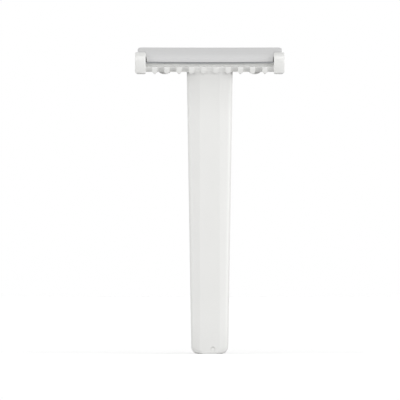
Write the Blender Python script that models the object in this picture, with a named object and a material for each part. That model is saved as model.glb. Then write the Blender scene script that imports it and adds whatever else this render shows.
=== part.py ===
"""Disposable single-edge razor with a comb guard, built from its three real pieces.

One moulding makes the handle, the blade seat, the end blocks and the comb guard. A steel blade lies
on the seat, and a moulded cap covers it. Two pins under the cap pass through the blade and through
tubular bosses, and their ends are spread below the bosses, so nothing comes apart.

The handle stands along Z with the head on top, X runs along the blade, and the shaving side faces -Y.
Everything is measured from the blade's cutting edge (y = 0) and the flat end of the handle (z = 0).
One empty then shifts the whole razor, so that its depth is centred on the world's Z axis.
"""

import math

import bmesh
import bpy
from mathutils import Matrix, Vector

mm = 0.001

# Clearances
fit_gap = 0.30 * mm
blade_gap = 0.25 * mm

# Blade: a flat steel strip, tilted so that its edge points down towards the front
blade_length = 38.1 * mm
blade_width = 6.4 * mm
blade_thickness = 0.20 * mm
blade_tilt = math.radians(28)
blade_bow = 0.20 * mm
edge_grind = 0.45 * mm
edge_land = 0.04 * mm

# Seat plate, with a trough in front of the seat that shaved hair washes out of
plate_thickness = 1.3 * mm
plate_edge_radius = 0.3 * mm
back_reach = 6.9 * mm
seat_start = 0.8 * mm
trough_depth = 0.45 * mm
trough_front_depth = 0.9 * mm

# Guard wall in front of the blade
guard_reach = 0.8 * mm
guard_bar_width = 0.5 * mm
guard_height = 2.2 * mm
guard_wall = 1.25 * mm
guard_lean = 0.45 * mm
guard_edge_radius = 0.2 * mm
guard_below_edge = 0.15 * mm

# Comb teeth on the guard
tooth_count = 10
tooth_pitch = 3.45 * mm
tooth_width = 1.45 * mm
tooth_tip_width = 0.4 * mm
tooth_tip_depth = 0.45 * mm
tooth_height = 2.1 * mm
tooth_drop = 0.6 * mm
tooth_edge_radius = 0.2 * mm
comb_reach = 1.25 * mm

# End blocks, which hide the blade's ends and stand out past the plate and the cap
end_block_width = 3.0 * mm
blade_end_cover = 1.0 * mm
end_block_overhang = 0.7 * mm
end_block_reach = 1.2 * mm
end_block_depth = 3.9 * mm
end_block_front_height = 5.0 * mm
end_block_shoulder_radius = 1.3 * mm
end_block_corner_radius = 0.45 * mm
end_block_chamfer = 0.6 * mm
end_block_chamfer_slope = 0.85
end_block_edge_radius = 0.35 * mm
end_block_above_cap = 0.12 * mm

# Cap: a domed cover with a nose between the end blocks and a wider back above them
cap_nose_setback = 0.5 * mm
cap_depth = 7.2 * mm
cap_thickness = 1.25 * mm
cap_edge_thickness = 0.9 * mm
cap_nose_slope = 0.55 * mm
cap_flat_start = 1.9 * mm
cap_flat_end = 4.1 * mm
cap_dome_radius = 6.0 * mm
cap_brow_radius = 2.5 * mm
cap_edge_radius = 0.45 * mm
cap_lower_edge_radius = 0.12 * mm
cap_end_radius = 0.30 * mm
cap_corner_radius = 1.1 * mm

# Pins under the cap, the bosses that take them, and the spread pin ends
pin_spacing = 25.4 * mm
pin_diameter = 1.8 * mm
boss_diameter = 3.8 * mm
boss_length = 1.85 * mm
spread_diameter = 2.55 * mm
spread_rim = 0.45 * mm
spread_dome = 0.40 * mm

# Handle: a tapered channel, open at the back, with a bevelled front
handle_length = 79.5 * mm
handle_width_at_head = 12.95 * mm
handle_width_at_foot = 10.4 * mm
handle_wall = 1.3 * mm
handle_back_setback = 0.2 * mm
front_width = 5.6 * mm
front_edge_radius = 1.0 * mm
front_setback_at_neck = 2.0 * mm
front_setback_at_foot = 2.3 * mm
bevel_depth = 0.75 * mm
side_edge_radius = 1.4 * mm
rim_radius = 0.3 * mm
inner_edge_radius = 0.2 * mm
neck_sweep = 2.0 * mm
neck_length = 13.5 * mm
foot_slope = 0.8 * mm
foot_slope_length = 9.0 * mm
foot_corner_radius = 2.1 * mm
foot_edge_radius = 0.6 * mm
channel_corner_radius = 0.63 * mm
channel_top_layer = 0.4 * mm
rib_count = 3
rib_thickness = 0.9 * mm
rib_drop = 0.5 * mm

# Gate mark near the foot, where the plastic entered the mould
gate_offset = 0.9 * mm
gate_height = 1.35 * mm
gate_pocket_diameter = 1.4 * mm
gate_pocket_depth = 0.20 * mm
gate_stub_diameter = 0.8 * mm
gate_stub_height = 0.15 * mm

# Values that follow from the sizes above
seat_level = -(blade_thickness / 2 + blade_gap)
cap_level = blade_thickness / 2 + blade_gap
land_level = blade_thickness / 2
underside_level = seat_level - plate_thickness
blade_back = blade_width + fit_gap
pin_place = blade_width / 2
hole_diameter = pin_diameter + 2 * fit_gap
end_block_inner = blade_length / 2 - blade_end_cover
head_width = 2 * (end_block_inner + end_block_width)
plate_width = head_width - 2 * end_block_overhang
cap_nose_width = 2 * (end_block_inner - fit_gap)
cap_back = cap_nose_setback + cap_depth
handle_back = back_reach - handle_back_setback
guard_bottom = handle_length
guard_top = guard_bottom + guard_height
edge_height = guard_top + guard_below_edge
tooth_tip = guard_bottom - tooth_drop
neck_start = guard_bottom - neck_length
boss_level = underside_level - boss_length

# How far a cutter reaches past what it cuts, how deep a joined shape reaches into the next one,
# the radius that is left of an arc when its outline is drawn in, and how near two points of a
# turned shape lie before they are merged
past = 2.0 * mm
sunk = 0.1 * mm
smallest_radius = 0.05 * mm
merge_distance = 0.001 * mm


def clear_scene():
    for old in list(bpy.data.objects):
        bpy.data.objects.remove(old, do_unlink=True)


def new_collection(name):
    collection = bpy.data.collections.new(name)
    bpy.context.scene.collection.children.link(collection)
    return collection


def finish(name, colour, roughness, metallic=0.0):
    """A plain material: white plastic, or steel when metallic is 1."""
    material = bpy.data.materials.new(name)
    material.use_nodes = True
    shader = material.node_tree.nodes["Principled BSDF"]
    shader.inputs["Base Color"].default_value = (*colour, 1.0)
    shader.inputs["Roughness"].default_value = roughness
    shader.inputs["Metallic"].default_value = metallic
    return material


def on_blade(along, above):
    """Depth and height of a point given along the blade's width and square to its middle plane."""
    depth = along * math.cos(blade_tilt) - above * math.sin(blade_tilt)
    height = edge_height + along * math.sin(blade_tilt) + above * math.cos(blade_tilt)
    return depth, height


def level_height(level):
    """A function that gives the height of a plane parallel to the blade at any depth."""
    def height(depth):
        along = (depth + level * math.sin(blade_tilt)) / math.cos(blade_tilt)
        return on_blade(along, level)[1]
    return height


def bow_at(x):
    """How far the bowed blade has risen above its middle at a place along its length."""
    return blade_bow * (2 * x / blade_length) ** 2


def rounding_at(distance, radius):
    """How far a rounded corner draws a side in, at a distance from the end that it rounds."""
    missing = min(max(radius - distance, 0), radius)
    return radius - math.sqrt(radius ** 2 - missing ** 2)


def rounding_steps(radius, count=7):
    """Distances from an end, spaced so that they follow its rounded corner closely."""
    return [radius * (1 - math.cos(math.pi / 2 * step / count)) for step in range(count + 1)]


def between(low, high, count):
    return [low + (high - low) * step / count for step in range(count + 1)]


def rounded_outline(corners, steps=4, inset=0.0):
    """Points of a closed outline from corners (a, b, radius), each corner turned into an arc.

    An outline whose corners all point outwards can be drawn in evenly by an inset.
    """
    points = []
    for index, (a, b, radius) in enumerate(corners):
        sharp = Vector((a, b))
        before = (Vector(corners[index - 1][:2]) - sharp).normalized()
        after = (Vector(corners[(index + 1) % len(corners)][:2]) - sharp).normalized()
        half_angle = before.angle(after) / 2
        inwards = (before + after).normalized() / math.sin(half_angle)
        corner = sharp + inwards * inset
        if radius == 0:
            points.append(corner)
            continue
        arc_radius = max(radius - inset, smallest_radius)
        centre = corner + inwards * arc_radius
        first = corner + before * (arc_radius / math.tan(half_angle)) - centre
        last = corner + after * (arc_radius / math.tan(half_angle)) - centre
        turn = -first.angle_signed(last)
        for step in range(steps + 1):
            points.append(centre + Matrix.Rotation(turn * step / steps, 2) @ first)
    return points


def object_from_bmesh(name, shape, collection, material=None):
    bmesh.ops.recalc_face_normals(shape, faces=shape.faces)
    mesh = bpy.data.meshes.new(name)
    shape.to_mesh(mesh)
    shape.free()
    item = bpy.data.objects.new(name, mesh)
    item.parent = origin
    collection.objects.link(item)
    if material:
        mesh.materials.append(material)
    return item


def tool(name, shape):
    """Keeps a shape that only cuts or joins another one, so it is drawn as wires and not rendered."""
    item = object_from_bmesh(name, shape, cutters)
    item.hide_render = True
    item.display_type = "WIRE"
    return item


def combine(target, other, operation):
    modifier = target.modifiers.new(f"{operation.lower()} {other.name}", "BOOLEAN")
    modifier.operation = operation
    modifier.solver = "EXACT"
    modifier.object = other


def swept_along_x(outline, stations):
    """A bmesh solid: an outline in depth and height, extruded through the given places along X."""
    shape = bmesh.new()
    ring = [shape.verts.new((stations[0], point[0], point[1])) for point in outline]
    face = shape.faces.new(ring)
    for near, far in zip(stations, stations[1:]):
        grown = bmesh.ops.extrude_face_region(shape, geom=[face])["geom"]
        moved = [item for item in grown if isinstance(item, bmesh.types.BMVert)]
        bmesh.ops.translate(shape, verts=moved, vec=(far - near, 0, 0))
        if near != stations[0]:
            bmesh.ops.delete(shape, geom=[face], context="FACES_ONLY")
        face = next(item for item in grown if isinstance(item, bmesh.types.BMFace))
    return shape


def lay_on_blade(shape):
    """Tilts a solid drawn in the blade's terms, and lifts it towards its ends as the blade bows."""
    for vertex in shape.verts:
        x, along, above = vertex.co
        vertex.co = (x, *on_blade(along, above + bow_at(x)))


def blade_frame(x, along, above):
    """A matrix whose Z axis stands square to the blade, at a point given in the blade's terms."""
    return Matrix.Translation((x, *on_blade(along, above))) @ Matrix.Rotation(blade_tilt, 4, "X")


def cylinder(name, diameter, length, matrix, steps=32):
    shape = bmesh.new()
    bmesh.ops.create_cone(shape, cap_ends=True, segments=steps, radius1=diameter / 2,
                          radius2=diameter / 2, depth=length, matrix=matrix)
    return tool(name, shape)


def bar_at_pin(name, side, low, high, diameter):
    """A cylinder square to the blade at one pin, between two levels above the blade's middle plane."""
    matrix = blade_frame(side * pin_spacing / 2, pin_place, (low + high) / 2)
    return cylinder(f"{name}_{side_name[side]}", diameter, high - low, matrix)


def skinned(name, outlines):
    """A solid skinned over closed outlines of the same number of points, and closed at both ends."""
    shape = bmesh.new()
    rings = [[shape.verts.new(point) for point in outline] for outline in outlines]
    for near, far in zip(rings, rings[1:]):
        for index in range(len(near)):
            following = (index + 1) % len(near)
            shape.faces.new((near[index], near[following], far[following], far[index]))
    shape.faces.new(rings[0])
    shape.faces.new(rings[-1])
    return tool(name, shape)


def lofted_up(name, heights, section, top=None):
    """A solid over sections at rising heights; the last one may reach up to a sloped top.

    The points of that last one take their X from the section at their own height, so the handle's
    sides stay flat up to the top.
    """
    outlines = [[(x, depth, height) for x, depth in section(height)] for height in heights]
    if top:
        outlines[-1] = [(section(top(depth))[index][0], depth, top(depth))
                        for index, (x, depth, height) in enumerate(outlines[-1])]
    return skinned(name, outlines)


def half_width_at(height):
    """Half the handle's width at a height, without its rounded foot corners."""
    growth = (handle_width_at_head - handle_width_at_foot) * height / handle_length
    return (handle_width_at_foot + growth) / 2


def front_at(height):
    """How far the handle's front face lies behind the blade's edge at a height."""
    share = min(height / neck_start, 1)
    setback = front_setback_at_foot + (front_setback_at_neck - front_setback_at_foot) * share
    into_neck = max(height - neck_start, 0) / neck_length
    into_foot = max(foot_slope_length - height, 0) / foot_slope_length
    return setback - neck_sweep * into_neck ** 2 + foot_slope * into_foot ** 2


def handle_outline(height, inset, back):
    """The handle's section in X and depth, drawn in by an inset, with its back at a given depth."""
    side = half_width_at(height)
    front = front_at(height)
    slope = math.atan2(bevel_depth, side - front_width / 2)
    front_corner = front_width / 2 - inset * math.tan(slope / 2)
    side_corner = front + bevel_depth + inset * math.tan((math.pi / 2 - slope) / 2)
    half = [(front_corner, front + inset, max(front_edge_radius - inset, inner_edge_radius)),
            (side - inset, side_corner, max(side_edge_radius - inset, inner_edge_radius)),
            (side - inset, back, 0 if inset else rim_radius)]
    return rounded_outline(half + [(-x, depth, radius) for x, depth, radius in reversed(half)])


def outer_section(height):
    """The handle's outer outline at a height, with the rounded corners and edge of the foot."""
    squeeze = 1 - rounding_at(height, foot_corner_radius) / half_width_at(height)
    drawn_back = rounding_at(height, foot_edge_radius)
    front = front_at(height)
    points = []
    for x, depth in handle_outline(height, 0, handle_back):
        share = (handle_back - depth) / (handle_back - front)
        points.append((x * squeeze, depth + drawn_back * share))
    return points


def inner_section(inset, back):
    """A function that gives outlines inside the handle's walls, with small rounded foot corners."""
    def section(height):
        drawn_in = rounding_at(height - handle_wall, channel_corner_radius)
        squeeze = 1 - drawn_in / (half_width_at(height) - inset)
        return [(x * squeeze, depth) for x, depth in handle_outline(height, inset, back)]
    return section


def make_handle_outside():
    """The handle's outer solid, which reaches up into the seat plate."""
    heights = rounding_steps(foot_corner_radius)
    heights += between(foot_corner_radius, foot_slope_length, 4)[1:]
    heights += between(foot_slope_length, neck_start, 3)[1:]
    heights += between(neck_start, guard_bottom, 7)[1:]
    return lofted_up("handle_outside", heights, outer_section,
                     top=level_height(underside_level + plate_thickness / 2))


def make_channel():
    """The cut that hollows the handle from behind, from its foot up to the seat plate."""
    corner_end = handle_wall + channel_corner_radius
    heights = [handle_wall + step for step in rounding_steps(channel_corner_radius, 3)]
    heights += between(corner_end, guard_bottom - handle_wall / 2, 20)[1:]
    return lofted_up("channel", heights, inner_section(handle_wall, handle_back + past),
                     top=level_height(underside_level - channel_top_layer))


def make_rib(index):
    """One cross rib in the channel, joined halfway into the handle's walls."""
    middle = index * (guard_bottom - handle_wall) / (rib_count + 1)
    heights = (middle - rib_thickness / 2, middle + rib_thickness / 2)
    return lofted_up(f"cross_rib_{index}", heights,
                     inner_section(handle_wall / 2, handle_back - rib_drop))


def make_gate_cylinder(name, diameter, low, high):
    """A small cylinder along the depth, at the place where the plastic entered the mould."""
    place = Matrix.Translation((gate_offset, (low + high) / 2, gate_height))
    return cylinder(name, diameter, high - low, place @ Matrix.Rotation(math.radians(90), 4, "X"), 24)


def make_seat_plate():
    """Seat plate and guard as one extrusion, before the seat is cut into its top."""
    bar_back = guard_bar_width - guard_reach
    wall_back = guard_wall - guard_reach + guard_lean
    wall_front = wall_back - guard_wall
    top = level_height(land_level)
    underside = level_height(underside_level)
    corners = [
        (-guard_reach, guard_top, guard_edge_radius),
        (bar_back, guard_top, guard_edge_radius),
        (bar_back + sunk, edge_height - trough_front_depth, guard_edge_radius / 2),
        (*on_blade(seat_start, seat_level - trough_depth), 0),
        (*on_blade(seat_start, land_level), 0),
        (back_reach, top(back_reach), plate_edge_radius),
        (back_reach, underside(back_reach), plate_edge_radius),
        (wall_back, underside(wall_back), plate_edge_radius),
        (wall_back, guard_bottom, guard_edge_radius),
        (wall_front, guard_bottom, guard_edge_radius),
    ]
    shape = swept_along_x(rounded_outline(corners), [-plate_width / 2, plate_width / 2])
    return object_from_bmesh("handle_and_guard", shape, parts, white_plastic)


def make_end_block(side):
    """One end block, which covers an end of the blade and guards the corner of the cap."""
    top_level = cap_level + cap_thickness + end_block_above_cap
    corners = [
        (-end_block_reach, tooth_tip, end_block_corner_radius),
        (-end_block_reach, tooth_tip + end_block_front_height, end_block_shoulder_radius),
        (*on_blade(end_block_depth, top_level), end_block_corner_radius),
        (*on_blade(end_block_depth, underside_level + sunk), 0),
        (end_block_reach, tooth_tip, end_block_corner_radius),
    ]
    steps = rounding_steps(end_block_edge_radius, 4)
    chamfer_start = end_block_width - end_block_chamfer
    places = steps + [chamfer_start] + [end_block_width - step for step in reversed(steps)]
    outlines = []
    for place in places:
        inset = rounding_at(min(place, end_block_width - place), end_block_edge_radius)
        lowest = tooth_tip + end_block_chamfer_slope * max(place - chamfer_start, 0)
        x = side * (end_block_inner + place)
        outline = rounded_outline(corners, inset=inset)
        outlines.append([(x, depth, max(height, lowest)) for depth, height in outline])
    return skinned(f"end_block_{side_name[side]}", outlines)


def make_tooth(index):
    """One comb tooth: a rib on the guard whose narrow tip hangs below it."""
    x = (index - (tooth_count - 1) / 2) * tooth_pitch
    half = tooth_width / 2
    top = tooth_tip + tooth_height
    tip_front = sunk - comb_reach
    corners = [
        (-guard_reach + guard_edge_radius + sunk, top, 0),
        (-comb_reach, top - tooth_edge_radius, tooth_edge_radius),
        (tip_front, tooth_tip, tooth_edge_radius),
        (tip_front + tooth_tip_depth, tooth_tip, tooth_edge_radius / 2),
        (sunk, guard_bottom + sunk, 0),
        (sunk, top, 0),
    ]
    shape = swept_along_x(rounded_outline(corners, 3), [x - half, x + half])
    shoulder = guard_bottom - sunk / 2
    bmesh.ops.bisect_plane(shape, geom=shape.verts[:] + shape.edges[:] + shape.faces[:],
                           plane_co=(0, 0, shoulder), plane_no=(0, 0, 1))
    for vertex in shape.verts:
        below = max(shoulder - vertex.co.z, 0) / (shoulder - tooth_tip)
        narrowing = 1 - (1 - tooth_tip_width / tooth_width) * below
        vertex.co.x = x + (vertex.co.x - x) * narrowing
    return tool(f"comb_tooth_{index + 1}", shape)


def make_seat_cutter():
    """The bowed slot that the blade lies in: the seat between the end blocks and their pockets."""
    outline = [(-fit_gap, seat_level), (blade_back, seat_level),
               (blade_back, cap_level), (-fit_gap, cap_level)]
    reach = blade_length / 2 + fit_gap
    shape = swept_along_x(outline, between(-reach, reach, 16))
    lay_on_blade(shape)
    return tool("seat_cutter", shape)


def make_body():
    """Handle, seat plate, guard, comb and end blocks: one moulding, hollowed last."""
    body = make_seat_plate()
    combine(body, make_handle_outside(), "UNION")
    for side in (-1, 1):
        combine(body, make_end_block(side), "UNION")
        boss_top = underside_level + plate_thickness / 2
        combine(body, bar_at_pin("boss", side, boss_level, boss_top, boss_diameter), "UNION")
    for index in range(tooth_count):
        combine(body, make_tooth(index), "UNION")
    combine(body, make_channel(), "DIFFERENCE")
    for index in range(1, rib_count + 1):
        combine(body, make_rib(index), "UNION")
    floor = front_at(gate_height) + gate_pocket_depth
    combine(body, make_gate_cylinder("gate_pocket", gate_pocket_diameter, -past, floor), "DIFFERENCE")
    combine(body, make_gate_cylinder("gate_stub", gate_stub_diameter, floor - gate_stub_height,
                                     floor + sunk), "UNION")
    combine(body, make_seat_cutter(), "DIFFERENCE")
    for side in (-1, 1):
        combine(body, bar_at_pin("pin_hole", side, boss_level - past, cap_level, hole_diameter),
                "DIFFERENCE")


def make_blade():
    """The steel strip: flat faces, a ground edge and two holes for the cap's pins."""
    half = blade_thickness / 2
    outline = [(0, edge_land / 2), (0, -edge_land / 2), (edge_grind, -half),
               (blade_width, -half), (blade_width, half), (edge_grind, half)]
    shape = swept_along_x(outline, between(-blade_length / 2, blade_length / 2, 16))
    lay_on_blade(shape)
    blade = object_from_bmesh("blade", shape, parts, blade_steel)
    for side in (-1, 1):
        combine(blade, bar_at_pin("blade_hole", side, -past, past, hole_diameter), "DIFFERENCE")


def make_pin(side):
    """One cap pin, turned: a shank, and below the boss the domed end that was spread in assembly."""
    shank = pin_diameter / 2
    spread = spread_diameter / 2
    below_boss = boss_level - fit_gap
    dome_start = below_boss - spread_rim
    root = cap_level + cap_edge_thickness / 2
    profile = [(0, root), (shank, root), (shank, below_boss), (spread, below_boss)]
    for turn in between(0, math.pi / 2, 4)[:-1]:
        profile.append((spread * math.cos(turn), dome_start - spread_dome * math.sin(turn)))
    profile.append((0, dome_start - spread_dome))
    shape = bmesh.new()
    points = [shape.verts.new((radius, 0, level)) for radius, level in profile]
    edges = [shape.edges.new(pair) for pair in zip(points, points[1:])]
    bmesh.ops.spin(shape, geom=points + edges, cent=(0, 0, 0), axis=(0, 0, 1), dvec=(0, 0, 0),
                   angle=2 * math.pi, steps=32, use_merge=True)
    bmesh.ops.remove_doubles(shape, verts=shape.verts, dist=merge_distance)
    place = blade_frame(side * pin_spacing / 2, pin_place, 0)
    bmesh.ops.transform(shape, matrix=place, verts=shape.verts)
    return tool(f"cap_pin_{side_name[side]}", shape)


def make_cap_notch(side):
    """The cut at a front corner of the cap that leaves room for an end block."""
    reach = end_block_depth + fit_gap
    size = (head_width, reach + past, 4 * past, 1)
    middle = side * (cap_nose_width + head_width) / 2
    place = blade_frame(middle, (reach - past) / 2, 0)
    shape = bmesh.new()
    bmesh.ops.create_cube(shape, size=1, matrix=place @ Matrix.Diagonal(size))
    return tool(f"cap_notch_{side_name[side]}", shape)


def make_cap():
    """The domed cap: its top is straight, its underside follows the blade, its front is notched."""
    top = cap_level + cap_thickness
    edge = cap_level + cap_edge_thickness
    corners = [
        (cap_nose_setback, cap_level, cap_lower_edge_radius),
        (cap_nose_setback + cap_nose_slope, edge, cap_edge_radius),
        (cap_nose_setback + cap_flat_start, top, cap_brow_radius),
        (cap_nose_setback + cap_flat_end, top, cap_dome_radius),
        (cap_back, edge, cap_edge_radius),
        (cap_back, cap_level, cap_lower_edge_radius),
    ]
    half_length = plate_width / 2
    rounding = [half_length - step for step in rounding_steps(cap_corner_radius)]
    places = between(-rounding[-1], rounding[-1], 16)[1:-1] + rounding + [-place for place in rounding]
    shape = swept_along_x(rounded_outline(corners, 5), sorted(places))
    for vertex in shape.verts:
        from_end = half_length - abs(vertex.co.x)
        share_of_depth = (vertex.co.y - cap_nose_setback) / cap_depth
        share_of_thickness = (vertex.co.z - cap_level) / cap_thickness
        vertex.co.y -= rounding_at(from_end, cap_corner_radius) * share_of_depth
        vertex.co.z -= rounding_at(from_end, cap_end_radius) * (2 * share_of_thickness - 1)
        vertex.co.z -= bow_at(vertex.co.x) * share_of_thickness
    lay_on_blade(shape)
    cap = object_from_bmesh("blade_cap", shape, parts, white_plastic_cap)
    for side in (-1, 1):
        combine(cap, make_cap_notch(side), "DIFFERENCE")
        combine(cap, make_pin(side), "UNION")


clear_scene()
parts = new_collection("disposable_razor")
cutters = new_collection("cutters")
white_plastic = finish("white_polystyrene", (0.80, 0.80, 0.79), 0.35)
white_plastic_cap = finish("white_polystyrene_cap", (0.74, 0.74, 0.74), 0.32)
blade_steel = finish("blade_steel", (0.55, 0.56, 0.57), 0.22, metallic=1.0)
side_name = {-1: "left", 1: "right"}

origin = bpy.data.objects.new("razor_origin", None)
origin.location = (0, (comb_reach - back_reach) / 2, 0)
parts.objects.link(origin)

make_body()
make_blade()
make_cap()
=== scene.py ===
# %% [markdown]
# # A disposable razor in white plastic
#
# The real object is a small T-shaped razor: one white moulding with a comb guard, a thin steel
# blade, and a white cap that is pinned over the blade. The imported model holds these three pieces
# as exact solids. This lesson loads them, gives each one smooth shading and a material that
# starts from what the real one is made of, and then sets up a floor, soft light and a camera.
#
# The first cell loads the model. Its box is kept, and the razor's size is printed from it.

import math

import bmesh
import bpy
from mathutils import Euler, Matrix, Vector


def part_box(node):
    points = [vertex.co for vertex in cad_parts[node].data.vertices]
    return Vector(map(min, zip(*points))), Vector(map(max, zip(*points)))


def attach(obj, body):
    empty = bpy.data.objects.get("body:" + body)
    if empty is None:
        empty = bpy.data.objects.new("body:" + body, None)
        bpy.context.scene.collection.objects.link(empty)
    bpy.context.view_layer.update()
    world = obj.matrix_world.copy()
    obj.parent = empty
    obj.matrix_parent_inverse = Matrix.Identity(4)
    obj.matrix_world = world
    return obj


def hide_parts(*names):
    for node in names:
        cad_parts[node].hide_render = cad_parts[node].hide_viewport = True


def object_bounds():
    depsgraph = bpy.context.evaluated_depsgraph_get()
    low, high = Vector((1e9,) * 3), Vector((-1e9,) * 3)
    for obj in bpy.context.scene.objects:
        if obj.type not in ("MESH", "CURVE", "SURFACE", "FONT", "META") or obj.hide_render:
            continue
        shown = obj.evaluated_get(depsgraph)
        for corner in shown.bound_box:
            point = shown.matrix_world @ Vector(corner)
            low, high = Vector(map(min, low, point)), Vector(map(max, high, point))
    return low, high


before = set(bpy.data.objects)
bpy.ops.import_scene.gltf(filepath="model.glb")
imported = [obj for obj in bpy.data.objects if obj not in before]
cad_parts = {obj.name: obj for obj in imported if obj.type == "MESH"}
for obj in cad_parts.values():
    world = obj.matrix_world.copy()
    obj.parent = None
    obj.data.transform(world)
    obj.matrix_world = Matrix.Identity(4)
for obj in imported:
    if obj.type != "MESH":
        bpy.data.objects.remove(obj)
cad_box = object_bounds()
mm = 0.001
razor_size = [round((high - low) / mm, 2) for low, high in zip(*cad_box)]
print("razor, width x depth x height in mm:", razor_size)

# %% [markdown]
# ## Measures taken from the blade
#
# Everything in the head is laid out from the blade: it is tilted, its edge points down to the
# front, and it bows a little, so that its ends are higher than its middle. Two functions turn a
# point into the blade's own terms and back, which makes small changes near the edge easy to say.
# A point of a solid is taken to be at a place when it is nearer to it than `near`.

# %% The blade's edge, tilt and bow
near = 0.06 * mm
blade_tilt = math.radians(28)
blade_bow = 0.20 * mm
blade_low, blade_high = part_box("blade")
half_length = blade_high.x
middle_points = [point.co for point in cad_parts["blade"].data.vertices
                 if abs(point.co.x) < mm]
edge = min(middle_points, key=lambda point: point.y).copy()
print("blade edge at", [round(value / mm, 2) for value in edge], "mm")


def in_blade_terms(point):
    """How far a point lies along the blade's width, and above its middle plane."""
    back, up = point.y - edge.y, point.z - edge.z
    bow = blade_bow * (point.x / half_length) ** 2
    return (back * math.cos(blade_tilt) + up * math.sin(blade_tilt),
            up * math.cos(blade_tilt) - back * math.sin(blade_tilt) - bow)


def shifted_on_blade(point, along, above):
    """The point, moved by two distances in the blade's own terms."""
    return Vector((point.x,
                   point.y + along * math.cos(blade_tilt) - above * math.sin(blade_tilt),
                   point.z + along * math.sin(blade_tilt) + above * math.cos(blade_tilt)))


# %% [markdown]
# ## Where the real pieces touch
#
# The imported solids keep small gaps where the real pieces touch, so that they stay separate. From
# the front two of these gaps would show as black lines. The real cap presses on the blade right
# behind its edge, and the ends of its nose lean on the end blocks above their shoulders. So in the
# cap's skin the nose comes down to the blade and a little forward, and its ends move out to the
# blocks. They go 0.05 mm in, because two surfaces in the same place would flicker.

# %% How the cap's skin differs from its solid
nose_depth, nose_height = 1.2 * mm, 0.6 * mm
nose_drop, nose_reach = 0.25 * mm, 0.15 * mm
shoulder_start = 2.0 * mm
end_block_inner = half_length - 1.0 * mm
end_gap = 0.30 * mm
end_gap_left = -0.05 * mm


def fitted_cap(point):
    """Brings the cap's nose down to the blade, and the ends above the shoulders to the blocks."""
    along, above = in_blade_terms(point)
    if 0 < along < nose_depth and above < nose_height:
        point = shifted_on_blade(point, -nose_reach, -nose_drop)
    at_block = abs(abs(point.x) - (end_block_inner - end_gap)) < near
    if at_block and along > shoulder_start:
        point = point + Vector((math.copysign(end_gap - end_gap_left, point.x), 0, 0))
    return point


print("nose comes down by", nose_drop / mm, "mm, its ends out by",
      round((end_gap - end_gap_left) / mm, 2), "mm")

# %% [markdown]
# ## A deeper comb
#
# In the photograph the guard lies in shade: grey shows right under the blade's edge and between
# the teeth, and the neck runs up into it without a step. So in the moulding's skin the guard has
# no raised bar. Its wall stands further back and ends at the tops of the teeth, where the
# trough's floor begins. Behind that the floor is nearly level, so it stays in shade. The top of
# the neck comes forward to meet the wall's foot, and its bevels run out towards the guard.
#
# The next cell says where these parts are in the solid. Their places are measured back and up
# from the blade's edge, and to the side from the middle.

# %% The guard and the neck in the solid
bar_front, bar_low, ramp_low = -0.8 * mm, -0.5 * mm, -1.0 * mm
wall_top, wall_bottom = -0.17 * mm, -2.37 * mm
wall_lean = 0.45 * mm
foot_height = 0.25 * mm
trough_rear, trough_bottom = 1.06 * mm, -0.35 * mm
neck_front, neck_rear, neck_low = 0.1 * mm, 1.3 * mm, -4.30 * mm
neck_flat, bevel_end = 2.8 * mm, 5.1 * mm
neck_side, beside_neck = 5.6 * mm, 6.2 * mm


def wall_at(up):
    """How far back the guard's wall stands at a height."""
    return bar_front + wall_lean * (wall_top - up) / (wall_top - wall_bottom)


def into_bevel(side):
    """0 on the neck's flat front, rising to 1 at the end of its bevel."""
    return min(max((side - neck_flat) / (bevel_end - neck_flat), 0), 1)


print("the guard's wall stands at", round(wall_at(wall_top) / mm, 2), "mm at its top and at",
      round(wall_at(wall_bottom) / mm, 2), "mm at its foot")

# %% [markdown]
# ## The guard's new wall
#
# The wall could be modelled anew, but moving the solid's own points keeps the skin closed and in
# step with the solid. So one function moves a point of the solid to its place in the skin. It
# asks in turn whether the point is on the neck's front, at the trough's rear, on the bar, on the
# wall or at the wall's foot, and it leaves every other point alone. The bar's points are drawn
# together on a short ramp, which rises behind the wall's new top.

# %% The guard and the neck in the skin
low_top = -0.91 * mm
new_wall_top, new_foot_on_neck, new_foot_beside = -0.25 * mm, -0.15 * mm, 0.50 * mm
bar_squeeze, foot_squeeze = 0.3, 0.1
ramp_slope = 0.42
trough_drop = 0.35 * mm
neck_forward, bevel_forward = 0.35 * mm, 0.45 * mm
foot_back_on_bevel = 0.30 * mm


def deeper_guard(point):
    """Takes the guard's bar away, sets its wall further back and brings the neck to its foot."""
    back, up, side = point.y - edge.y, point.z - edge.z, abs(point.x)
    at_foot = up < wall_bottom + foot_height
    if side < beside_neck and up > neck_low and at_foot and neck_front < back < neck_rear:
        on_neck = min((beside_neck - side) / (beside_neck - neck_side), 1)
        rise = min((up - neck_low) / (wall_bottom - neck_low), 1)
        forward = neck_forward * on_neck + bevel_forward * min(into_bevel(side), on_neck)
        return point - Vector((0, forward * rise, 0))
    if side > end_block_inner + near or not wall_bottom - near < up < 0:
        return point
    if abs(back - trough_rear) < near and abs(up - trough_bottom) < near:
        return point - Vector((0, 0, trough_drop))
    off_wall = back - wall_at(up)
    on_wall = abs(off_wall) < near
    new_foot = new_foot_beside
    if side < neck_side + near:
        new_foot = new_foot_on_neck + foot_back_on_bevel * into_bevel(side)
    if bar_front - near < back < 0 and (up > bar_low or up > ramp_low and not on_wall):
        new_back = new_wall_top + bar_squeeze * (back - bar_front)
        up = low_top + ramp_slope * (new_back - new_wall_top)
    elif on_wall:
        share = (low_top - up) / (low_top - wall_bottom)
        new_back = new_wall_top + share * (new_foot - new_wall_top)
    elif at_foot and off_wall > -near and back < near:
        new_back = new_foot + foot_squeeze * off_wall
    else:
        return point
    return Vector((point.x, edge.y + new_back, edge.z + up))


print("the wall goes back by", round((new_wall_top - bar_front) / mm, 2), "mm at its top")

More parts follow.
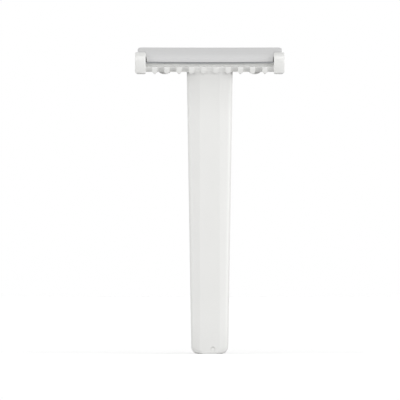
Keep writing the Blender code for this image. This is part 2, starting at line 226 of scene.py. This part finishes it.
# %% [markdown]
# ## Fronts that lean, and a softer foot
#
# The fronts of the teeth and the end blocks are a little darker in the photograph than the
# handle, so the whole head leans: its fronts face down by 12 degrees. The lean is a shear, which
# leaves flat fronts flat. The fronts of the two bosses below the seat show beside the handle, a
# little further forward than in the solids. The foot's front edge is only a thin grey line, so
# its rounding is made shallower.

# %% The lean of the head's fronts and the foot's front edge
head_lean = math.tan(math.radians(12))
lean_top, lean_rear = 0.75 * mm, -0.5 * mm
pin_side = 12.7 * mm
pin_along = (blade_high.y - blade_low.y) / math.cos(blade_tilt) / 2
boss_radius, boss_slack, boss_top = 1.9 * mm, 0.2 * mm, -0.5 * mm
boss_reach = 1.0 * mm
foot_radius = 0.6 * mm
foot_fill = 0.6
foot_front, foot_side = 0.9 * mm, 2.2 * mm


def leaning_head(point):
    """Leans the head's fronts, brings the bosses' fronts forward and fills the foot's edge."""
    back, up = point.y - edge.y, point.z - edge.z
    along, above = in_blade_terms(point)
    from_pin = math.hypot(abs(point.x) - pin_side, along - pin_along)
    if above < boss_top and along < pin_along and abs(from_pin - boss_radius) < boss_slack:
        return shifted_on_blade(point, -boss_reach * (pin_along - along) / boss_radius, 0)
    if back < lean_rear and up < lean_top:
        return point + Vector((0, head_lean * (lean_top - up), 0))
    if point.z < foot_radius and point.y < foot_side:
        inset = foot_radius - math.sqrt(foot_radius ** 2 - (foot_radius - point.z) ** 2)
        share = min((foot_side - point.y) / (foot_side - foot_front), 1)
        return point - Vector((0, foot_fill * inset * share, 0))
    return point


def fitted_moulding(point):
    """A point that the guard's rules leave alone goes through the lean's rules."""
    moved = deeper_guard(point)
    return moved if moved != point else leaning_head(point)


print("the teeth's fronts go back by", round(head_lean * (lean_top - wall_bottom) / mm, 2),
      "mm at the height of the wall's foot")

# %% [markdown]
# ## Smooth skins
#
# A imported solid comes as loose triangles, so each one is shaded flat and a rounded edge shows its
# facets. There are two ways round that: build every piece again, or copy it, merge its points and
# shade the copy smooth. The shapes here are already right, so copies are made. Edges that turn by
# more than a set angle stay sharp, as the parting edges and corners of a moulding do.

# %% A helper that copies a solid, changes it a little and shades it smooth
weld_distance = 0.001 * mm
flat_angle = math.radians(0.2)


def smooth_skin(node, name, sharp_angle, change=None):
    """A piece that stands for a node: its solid, merged, changed point by point and smoothed."""
    shape = bmesh.new()
    shape.from_mesh(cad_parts[node].data)
    loose = len(shape.verts)
    bmesh.ops.remove_doubles(shape, verts=shape.verts, dist=weld_distance)
    changed = 0
    for vertex in shape.verts:
        place = change(vertex.co) if change else vertex.co
        changed += place != vertex.co
        vertex.co = place
    bmesh.ops.dissolve_limit(shape, angle_limit=flat_angle, verts=shape.verts,
                             edges=shape.edges, use_dissolve_boundaries=False)
    for face in shape.faces:
        face.smooth = True
    for line in shape.edges:
        line.smooth = line.calc_face_angle(math.pi) < sharp_angle
    mesh = bpy.data.meshes.new(name)
    shape.to_mesh(mesh)
    print(name, ":", loose, "loose points became", len(shape.verts), "and", changed, "were moved")
    shape.free()
    piece = bpy.data.objects.new(name, mesh)
    bpy.context.scene.collection.objects.link(piece)
    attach(piece, "root")
    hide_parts(node)
    return piece


print("points closer than", weld_distance / mm, "mm are merged")

# %% [markdown]
# ## The three skins
#
# On the plastic pieces an edge stays sharp from 28 degrees on, which keeps their corners crisp
# and their domes and roundings soft. The blade is ground flat, so its edges are sharp from 5
# degrees on. Each skin prints how many points it has and how many the functions above moved.

# %% Skins of the three pieces
plastic_sharp, steel_sharp = math.radians(28), math.radians(5)
moulding = smooth_skin("handle_and_guard", "handle_and_guard_skin", plastic_sharp,
                       fitted_moulding)
cap = smooth_skin("blade_cap", "blade_cap_skin", plastic_sharp, fitted_cap)
blade = smooth_skin("blade", "blade_skin", steel_sharp)

# %% [markdown]
# ## Helpers for materials
#
# Colours are written as they look on a screen, in hex, and the shader wants linear numbers, so
# one function turns the first into the second. Another adds a shader node with its settings and
# its links in one call, which keeps the materials short enough to read. The third starts an empty
# material.


# %% Helpers for colours and nodes
def linear(hex_colour):
    """A screen colour such as "E6E6E4" as linear red, green, blue and alpha."""
    channels = [int(hex_colour[place:place + 2], 16) / 255 for place in (0, 2, 4)]
    curve = [c / 12.92 if c <= 0.04045 else ((c + 0.055) / 1.055) ** 2.4 for c in channels]
    return (*curve, 1.0)


def add_node(tree, kind, inputs=None, **settings):
    """Adds a node; an input's value is a number, a colour, or another node's output to link."""
    node = tree.nodes.new(kind)
    for name, value in settings.items():
        setattr(node, name, value)
    for name, value in (inputs or {}).items():
        if isinstance(value, bpy.types.NodeSocket):
            tree.links.new(value, node.inputs[name])
        else:
            node.inputs[name].default_value = value
    return node


def new_material(name):
    """An empty material: its node tree and its Principled shader."""
    material = bpy.data.materials.new(name)
    material.use_nodes = True
    return material, material.node_tree, material.node_tree.nodes["Principled BSDF"]


print("E8E8E6 in linear light:", [round(channel, 3) for channel in linear("E8E8E6")])

# %% [markdown]
# ## White polystyrene
#
# The handle and the cap are injection-moulded polystyrene, pigmented white. The mould was
# polished but not mirror-bright, so the plastic has a satin sheen: soft, wide highlights over a
# colour that hardly changes. Three things keep it from looking like flat paint. The pigment is
# never spread quite evenly, which shows as faint clouds some 12 mm across. The mould's own finish
# leaves a grain of about 0.1 mm, drawn here at 0.35 mm because the picture can't show less. And
# the sheen changes a little from place to place, as the plastic cooled. All of it is worked out
# from a point's place in space, which needs no picture and leaves no seam. The cap is given a
# greyer white than the handle. Part of that is its own colour and part is painted shade for its
# up-facing top.

# %% A material for moulded polystyrene
cloud_size, grain_size = 12 * mm, 0.35 * mm
grain_depth = 0.02 * mm
sheen_change = 0.03
polystyrene_ior = 1.59


def moulded_polystyrene(name, light_hex, dark_hex, roughness):
    """White plastic between two shades, with clouds in its pigment and sheen, and a fine grain."""
    material, tree, shader = new_material(name)
    place = add_node(tree, "ShaderNodeTexCoord").outputs["Object"]
    clouds = add_node(tree, "ShaderNodeTexNoise",
                      {"Vector": place, "Scale": 1 / cloud_size, "Detail": 3.0}).outputs["Fac"]
    pigment = add_node(tree, "ShaderNodeMix",
                       {"Factor": clouds, "A": linear(dark_hex), "B": linear(light_hex)},
                       data_type="RGBA")
    sheen = add_node(tree, "ShaderNodeMapRange",
                     {"Value": clouds, "From Min": 0.3, "From Max": 0.7,
                      "To Min": roughness - sheen_change, "To Max": roughness + sheen_change})
    grain = add_node(tree, "ShaderNodeTexNoise",
                     {"Vector": place, "Scale": 1 / grain_size, "Detail": 2.0}).outputs["Fac"]
    relief = add_node(tree, "ShaderNodeBump",
                      {"Height": grain, "Strength": 0.12, "Distance": grain_depth})
    tree.links.new(pigment.outputs["Result"], shader.inputs["Base Color"])
    tree.links.new(sheen.outputs["Result"], shader.inputs["Roughness"])
    tree.links.new(relief.outputs["Normal"], shader.inputs["Normal"])
    shader.inputs["IOR"].default_value = polystyrene_ior
    return material


white_polystyrene = moulded_polystyrene("moulded_white_polystyrene", "E9E9E7", "E5E5E3", 0.42)
# The cap's greyer white is partly painted shade, which darkens the cap's up-facing top.
cap_white_and_painted_shade = moulded_polystyrene("moulded_cap_white_and_painted_shade", "CFCFCF", "CBCBCB", 0.38)
moulding.data.materials.append(white_polystyrene)
cap.data.materials.append(cap_white_and_painted_shade)
print("materials:", white_polystyrene.name, "and", cap_white_and_painted_shade.name)

# %% [markdown]
# ## Blade steel
#
# The blade is a strip of hardened stainless steel, rolled bright and then ground to an edge on
# one side. Rolling leaves faint lines along the strip, and grinding leaves a duller, slightly
# paler band, nearly half a millimetre wide, at the edge. A Mapping node turns the pattern by the
# blade's tilt, so that one of its axes runs across the strip, and a narrow Map Range finds the
# ground band. A second Mapping node draws a fine noise out along the strip, for the lines. They
# are some 0.01 mm wide on the real strip and are drawn at 0.15 mm, which the picture can show.

# %% The blade's material
band_start, band_end = 0.42 * mm, 0.52 * mm
ground_roughness, flat_roughness = 0.34, 0.22
line_width, line_depth = 0.15 * mm, 0.005 * mm
line_stretch = 0.02
steel, tree, shader = new_material("rolled_stainless_steel")
turned = add_node(tree, "ShaderNodeMapping",
                  {"Vector": add_node(tree, "ShaderNodeTexCoord").outputs["Object"],
                   "Location": edge, "Rotation": (blade_tilt, 0, 0)},
                  vector_type="TEXTURE").outputs["Vector"]
across = add_node(tree, "ShaderNodeSeparateXYZ", {"Vector": turned}).outputs["Y"]
flat_part = add_node(tree, "ShaderNodeMapRange",
                     {"Value": across, "From Min": band_start,
                      "From Max": band_end}).outputs["Result"]
drawn_out = add_node(tree, "ShaderNodeMapping",
                     {"Vector": turned, "Scale": (line_stretch, 1.0, 1.0)}).outputs["Vector"]
lines = add_node(tree, "ShaderNodeTexNoise",
                 {"Vector": drawn_out, "Scale": 1 / line_width, "Detail": 3.0}).outputs["Fac"]
colour = add_node(tree, "ShaderNodeMix",
                  {"Factor": flat_part, "A": linear("B4B6B8"), "B": linear("A6A8AB")},
                  data_type="RGBA")
gloss = add_node(tree, "ShaderNodeMapRange",
                 {"Value": flat_part, "To Min": ground_roughness,
                  "To Max": flat_roughness}).outputs["Result"]
scratches = add_node(tree, "ShaderNodeBump",
                     {"Height": lines, "Strength": 0.2, "Distance": line_depth})
tree.links.new(colour.outputs["Result"], shader.inputs["Base Color"])
tree.links.new(gloss, shader.inputs["Roughness"])
tree.links.new(scratches.outputs["Normal"], shader.inputs["Normal"])
shader.inputs["Metallic"].default_value = 1.0
blade.data.materials.append(steel)
print("steel:", steel.name)

# %% [markdown]
# ## Floor and soft light
#
# The razor stands on plain pale grey paper, inside a white tent. The tent is brightest on the
# camera's side and low down, and darker overhead and behind, so surfaces that face the camera
# look lighter than the cap's top. Two wide lamps beside the camera, the right one stronger, give
# the bevels and the comb's gaps their shading. The light on the floor is worked out from these
# levels: the tent's mean, where overhead counts twice as much as the horizon, and each lamp by
# how high it stands.

# %% The levels of the light
tent_front = 1.28
tent_back = 0.10
overhead_share = 0.60
lamp_levels = {"right": 0.56, "left": 0.36}
lamp_directions = {"right": Vector((0.88, -0.45, 0.15)).normalized(),
                   "left": Vector((-0.88, -0.45, 0.15)).normalized()}
floor_light = (tent_front + tent_back) / 2 * (1 + 2 * overhead_share) / 3
for side, direction in lamp_directions.items():
    floor_light += lamp_levels[side] * direction.z
print("light on the floor:", round(floor_light, 3))

# %% [markdown]
# ## The floor
#
# To the razor the paper is pale grey, and it throws that much light back from below. For the
# camera alone the paper's colour is 1 divided by the light on it. So lit paper is seen as pure
# white, and only the razor's shadow is darker.

# %% The floor
floor_half_size = 1.5
floor_mesh = bpy.data.meshes.new("floor")
shape = bmesh.new()
bmesh.ops.create_grid(shape, x_segments=1, y_segments=1, size=floor_half_size)
shape.to_mesh(floor_mesh)
shape.free()
floor = bpy.data.objects.new("floor", floor_mesh)
bpy.context.scene.collection.objects.link(floor)
paper, tree, shader = new_material("white_paper")
seen = add_node(tree, "ShaderNodeLightPath").outputs["Is Camera Ray"]
as_white = (1 / floor_light, 1 / floor_light, 1 / floor_light, 1.0)
paper_colour = add_node(tree, "ShaderNodeMix",
                        {"Factor": seen, "A": linear("D0D0D0"), "B": as_white}, data_type="RGBA")
diffuse = add_node(tree, "ShaderNodeBsdfDiffuse", {"Color": paper_colour.outputs["Result"]})
tree.links.new(diffuse.outputs["BSDF"], tree.nodes["Material Output"].inputs["Surface"])
floor_mesh.materials.append(paper)
print("floor, seen by the camera:", round(as_white[0], 3))

# %% [markdown]
# ## The tent
#
# A tent of white cloth could be modelled as a dome. The world's background does the same without
# a shape. One ramp changes its level from front to back and another from the horizon to overhead.
# Light Path keeps both from the camera and from reflections, which see plain white, so only the
# soft light on the razor and the paper follows the ramps.

# %% The tent
scene = bpy.context.scene
scene.view_settings.view_transform = "Standard"
world = bpy.data.worlds.new("studio")
scene.world = world
world.use_nodes = True
tree = world.node_tree
path = add_node(tree, "ShaderNodeLightPath")
seen = add_node(tree, "ShaderNodeMath", {0: path.outputs["Is Camera Ray"],
                                         1: path.outputs["Is Glossy Ray"]}, operation="MAXIMUM")
seen = add_node(tree, "ShaderNodeMath", {0: seen.outputs["Value"],
                                         1: path.outputs["Is Transmission Ray"]},
                operation="MAXIMUM")
direction = add_node(tree, "ShaderNodeSeparateXYZ",
                     {"Vector": add_node(tree, "ShaderNodeTexCoord").outputs["Generated"]})
around = add_node(tree, "ShaderNodeMapRange",
                  {"Value": direction.outputs["Y"], "From Min": -1.0, "From Max": 1.0,
                   "To Min": tent_front, "To Max": tent_back})
upwards = add_node(tree, "ShaderNodeMapRange",
                   {"Value": direction.outputs["Z"], "To Min": 1.0, "To Max": overhead_share})
tent = add_node(tree, "ShaderNodeMath", {0: around.outputs["Result"],
                                         1: upwards.outputs["Result"]}, operation="MULTIPLY")
level = add_node(tree, "ShaderNodeMapRange",
                 {"Value": seen.outputs["Value"], "To Min": tent.outputs["Value"], "To Max": 1.0})
sky = tree.nodes["Background"]
sky.inputs["Color"].default_value = (1, 1, 1, 1)
tree.links.new(level.outputs["Result"], sky.inputs["Strength"])
print("tent, from front to back:", tent_front, "to", tent_back)

# %% [markdown]
# ## The lamps
#
# Each lamp is a sun with a wide angle, which gives soft shadows as a large soft box does. Area
# lamps would do too, but a sun is as bright at any distance, which keeps the levels simple. A
# sun's energy is divided by pi on a white surface that faces it, so the level is multiplied by pi.

# %% The lamps
lamp_angle = math.radians(35)
for side, direction in lamp_directions.items():
    lamp_data = bpy.data.lights.new(side + "_lamp", "SUN")
    lamp_data.energy = lamp_levels[side] * math.pi
    lamp_data.angle = lamp_angle
    lamp = bpy.data.objects.new(side + "_lamp", lamp_data)
    lamp.rotation_euler = direction.to_track_quat("Z", "Y").to_euler()
    scene.collection.objects.link(lamp)
print("lamps:", list(lamp_directions))

# %% [markdown]
# ## Camera
#
# The photograph looks straight at the shaving side, with hardly any perspective, as a long lens
# from a few metres away does. One pixel is 0.282 mm on the razor. The picture's frame is 400
# pixels wide, which gives the lens, and the razor's middle lies 9.75 pixels to the right of the
# picture's, which gives the shift. Its foot stands on row 354, which gives the camera's height.

# %% The camera
picture_size = 400
pixel = 0.282 * mm
floor_row = 354.0
middle_column = 209.75
distance = 2.5
camera_data = bpy.data.cameras.new("camera")
camera_data.sensor_width = 36
camera_data.lens = camera_data.sensor_width * distance / (picture_size * pixel)
camera_data.shift_x = (picture_size / 2 - middle_column) / picture_size
camera_data.clip_end = 20
camera = bpy.data.objects.new("camera", camera_data)
camera.location = (0, -distance, (floor_row - picture_size / 2) * pixel)
camera.rotation_euler = Euler((math.pi / 2, 0, 0))
scene.collection.objects.link(camera)
scene.camera = camera
print("lens:", round(camera_data.lens), "mm at", distance, "m")
